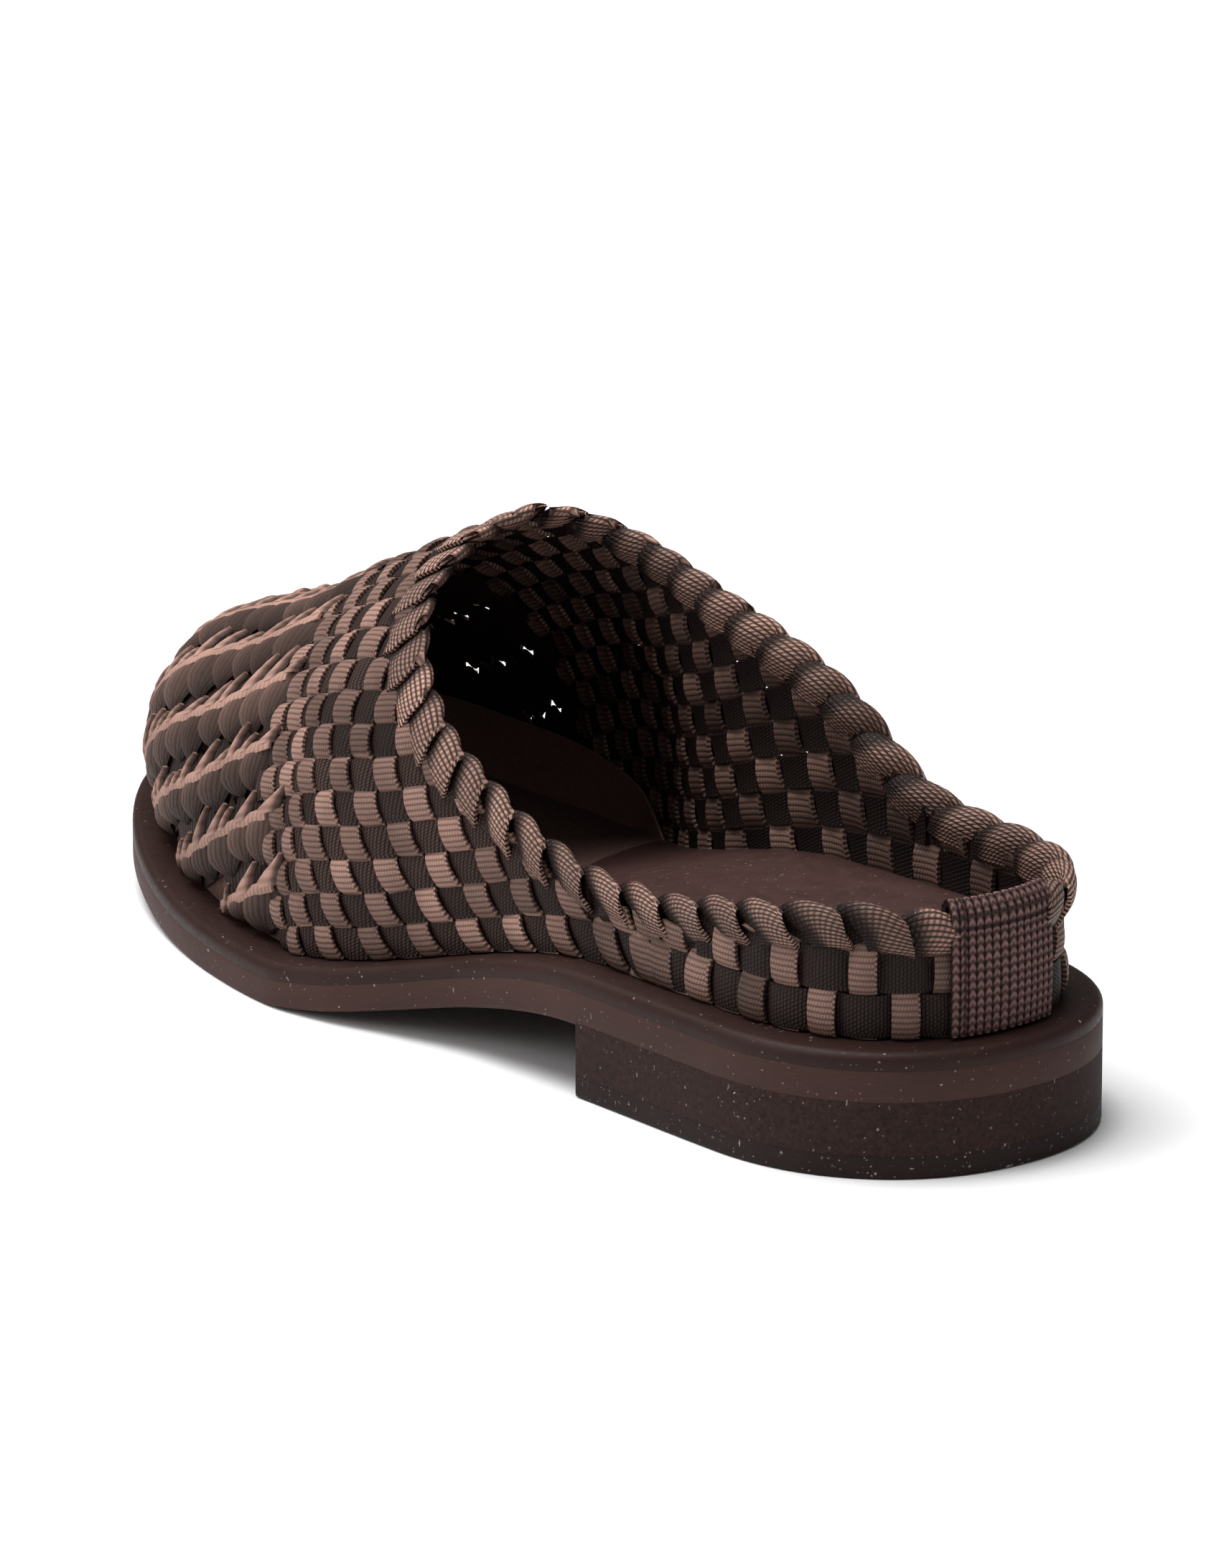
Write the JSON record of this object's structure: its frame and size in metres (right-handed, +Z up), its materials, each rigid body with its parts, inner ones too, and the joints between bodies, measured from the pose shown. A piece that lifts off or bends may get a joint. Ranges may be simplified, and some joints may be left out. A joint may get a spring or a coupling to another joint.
{
  "type": "woven mule",
  "caption": "Left woven slip-on mule with a low back, open basket weave upper, stacked welted sole, low block heel and webbing heel tab.",
  "frame": {"origin": "middle of the footprint's bounding box, on the floor the shoe stands on", "axes": "+Y to the toe, +X to the inner side of the left foot, +Z up"},
  "size_m": [0.0986, 0.26, 0.0887],
  "materials": {
    "heel_top_piece": "matte",
    "heel_block": "grainy matte",
    "outsole": "matte",
    "midsole": "satin",
    "insole": "smooth satin",
    "upper": "woven ribbed tape",
    "heel_tab": "coarse webbing"
  },
  "bodies": {
    "root": {"heel_top_piece": "heel_top_piece", "heel_block": "heel_block", "outsole": "outsole", "midsole": "midsole", "insole": "insole", "upper": "upper", "heel_tab": "heel_tab"}
  },
  "joints": []
}
